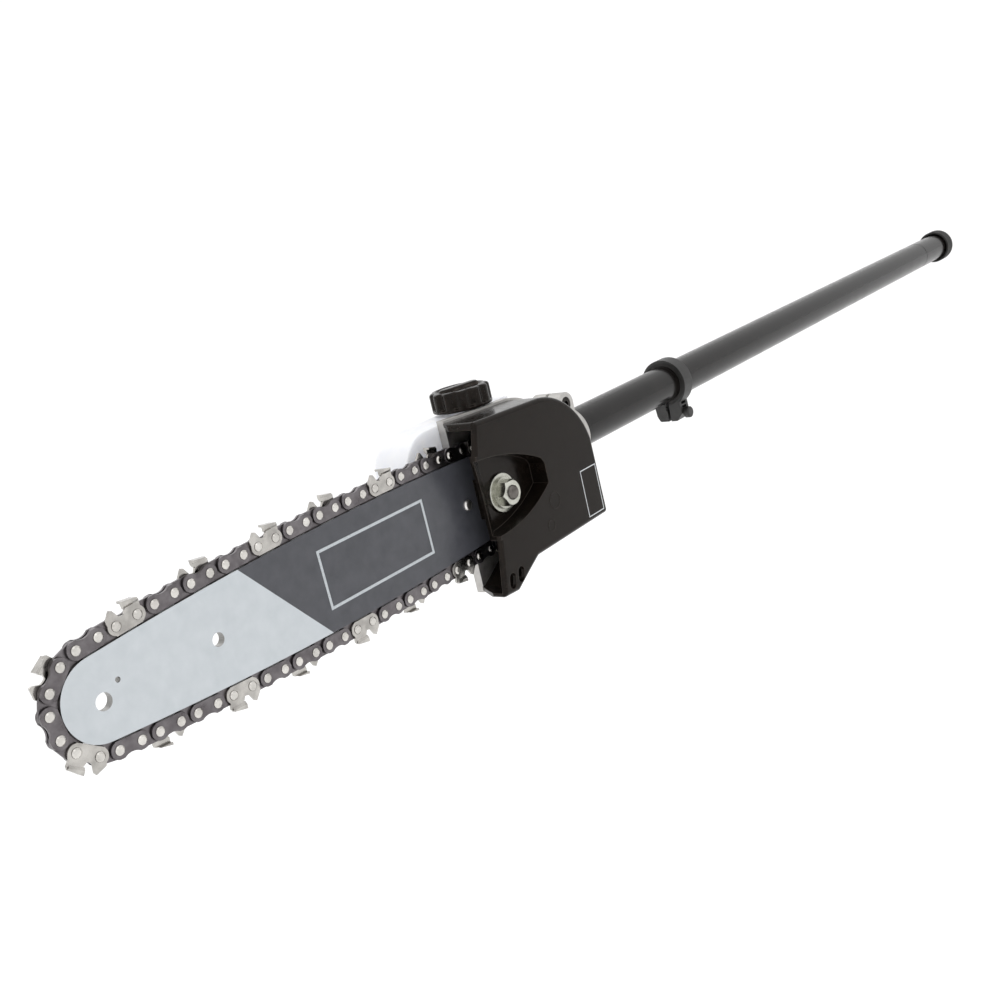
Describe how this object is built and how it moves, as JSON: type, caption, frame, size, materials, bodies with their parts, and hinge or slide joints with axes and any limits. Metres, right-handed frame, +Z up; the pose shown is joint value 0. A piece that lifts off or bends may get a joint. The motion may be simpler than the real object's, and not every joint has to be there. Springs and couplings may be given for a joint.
{
  "type": "pole saw attachment",
  "caption": "Pole saw attachment: long tube with a drive shaft, right-angle gear head, guide bar with saw chain, side cover, oil tank with screw cap, tube clip and end cap.",
  "frame": {"origin": "tube axis at the tube's outer end, where it plugs into the power unit", "axes": "+X along the tube towards the power unit, +Z up (oil cap up), the side cover faces -Y"},
  "size_m": [1.1174, 0.0781, 0.1097],
  "materials": {
    "black_abs": "gloss moulded",
    "black_nylon": "fine textured",
    "tank_pe": "translucent milky",
    "tube_paint": "gloss black powder coat",
    "cast_alu": "die cast",
    "bar_steel": "painted steel",
    "chain_dark": "blued",
    "chain_chrome": "hard chrome",
    "zinc_steel": "zinc plated",
    "steel": "ground",
    "bronze": "sintered",
    "rubber": "matt",
    "felt": "pressed felt"
  },
  "bodies": {
    "saw_head": {"gear_housing": "cast_alu", "gear_case_lid": "cast_alu", "gear_case_screws": "zinc_steel", "tube_clamp_bolt": "zinc_steel", "tube_clamp_nut": "zinc_steel", "main_tube": "tube_paint", "oil_tank": "tank_pe", "oil_tank_screws": "zinc_steel", "pump_body": "bronze", "oil_hose": "rubber", "oil_filter": "felt", "bar_stud": "zinc_steel", "bar_guide_plate": "steel", "output_shaft_bearings": "steel", "pinion_bearing": "steel", "shaft_bushings": "bronze"},
    "drive_shaft": {"drive_shaft": "steel", "pinion_gear": "steel"},
    "sprocket_shaft": {"output_shaft": "steel", "bevel_gear": "steel", "drive_sprocket": "steel", "sprocket_clip": "steel", "pump_worm": "steel"},
    "pump_plunger": {"pump_plunger": "steel"},
    "bar_and_chain": {"guide_bar": "bar_steel", "chain_adjuster_block": "steel", "chain_drive_links": "chain_dark", "chain_near_tie_straps": "chain_dark", "chain_far_tie_straps": "chain_dark", "chain_near_cutters": "chain_chrome", "chain_far_cutters": "chain_chrome", "chain_rivets": "zinc_steel", "chain_drive_links_at_sprocket": "chain_dark", "chain_near_tie_straps_at_sprocket": "chain_dark", "chain_far_tie_straps_at_sprocket": "chain_dark", "chain_near_cutters_at_sprocket": "chain_chrome", "chain_far_cutters_at_sprocket": "chain_chrome", "chain_rivets_at_sprocket": "zinc_steel"},
    "tension_screw": {"chain_tension_screw": "zinc_steel"},
    "side_cover": {"side_cover": "black_abs"},
    "bar_washer": {"bar_washer": "zinc_steel"},
    "bar_nut": {"bar_nut": "zinc_steel"},
    "oil_cap_seal": {"oil_cap_seal": "rubber"},
    "oil_cap": {"oil_cap": "black_nylon"},
    "tube_clip": {"tube_clip": "black_nylon", "tube_clip_liner": "rubber"},
    "tube_clip_screw": {"tube_clip_screw": "black_nylon"},
    "end_cap": {"end_cap": "rubber"}
  },
  "joints": [
    {"name": "sprocket_spin", "type": "hinge", "parent": "saw_head", "child": "sprocket_shaft", "pos_m": [-0.8106, 0, 0], "axis": [0, 1, 0], "continuous": true, "deforming": ["chain_drive_links_at_sprocket", "chain_near_tie_straps_at_sprocket", "chain_far_tie_straps_at_sprocket", "chain_near_cutters_at_sprocket", "chain_far_cutters_at_sprocket", "chain_rivets_at_sprocket"]},
    {"name": "drive_shaft_spin", "type": "hinge", "parent": "saw_head", "child": "drive_shaft", "pos_m": [-0.8106, 0, 0], "axis": [1, 0, 0], "continuous": true},
    {"name": "pump_plunger_spin", "type": "hinge", "parent": "saw_head", "child": "pump_plunger", "pos_m": [-0.8213, 0.0075, 0], "axis": [0, 0, 1], "continuous": true},
    {"name": "bar_tension", "type": "slide", "parent": "saw_head", "child": "bar_and_chain", "axis": [-1, 0, 0], "range_m": [-0.004, 0.002]},
    {"name": "tension_screw_turn", "type": "hinge", "parent": "saw_head", "child": "tension_screw", "pos_m": [-0.8606, -0.018, 0], "axis": [1, 0, 0], "range_deg": [-1800, 900]},
    {"name": "side_cover_lift_off", "type": "slide", "parent": "saw_head", "child": "side_cover", "axis": [0, -1, 0], "range_m": [0, 0.04]},
    {"name": "bar_washer_back_off", "type": "slide", "parent": "side_cover", "child": "bar_washer", "axis": [0, -1, 0], "range_m": [0, 0.00625]},
    {"name": "bar_nut_turn", "type": "hinge", "parent": "bar_washer", "child": "bar_nut", "pos_m": [-0.8396, -0.045, 0], "axis": [0, 1, 0], "range_deg": [0, 1800.5]},
    {"name": "oil_cap_rise", "type": "slide", "parent": "saw_head", "child": "oil_cap_seal", "axis": [0, 0, 1], "range_m": [0, 0.0075]},
    {"name": "oil_cap_turn", "type": "hinge", "parent": "oil_cap_seal", "child": "oil_cap", "pos_m": [-0.8226, -0.0115, 0.05], "axis": [0, 0, 1], "range_deg": [0, 900.5]},
    {"name": "tube_clip_slide", "type": "slide", "parent": "saw_head", "child": "tube_clip", "axis": [1, 0, 0], "range_m": [-0.1, 0.45]},
    {"name": "tube_clip_screw_turn", "type": "hinge", "parent": "tube_clip", "child": "tube_clip_screw", "pos_m": [-0.5906, 0, -0.0227], "axis": [0, 1, 0], "range_deg": [0, 1080]},
    {"name": "end_cap_slide", "type": "slide", "parent": "saw_head", "child": "end_cap", "axis": [1, 0, 0], "range_m": [0, 0.25]}
  ],
  "couplings": [
    {"joint": "drive_shaft_spin", "follows": "sprocket_spin", "ratio": 1.25},
    {"joint": "pump_plunger_spin", "follows": "sprocket_spin", "ratio": 0.083333},
    {"joint": "tension_screw_turn", "follows": "bar_tension", "rad_per_m": 7854},
    {"joint": "bar_nut_turn", "follows": "bar_washer_back_off", "rad_per_m": 5026.5},
    {"joint": "oil_cap_turn", "follows": "oil_cap_rise", "rad_per_m": 2094.4}
  ]
}
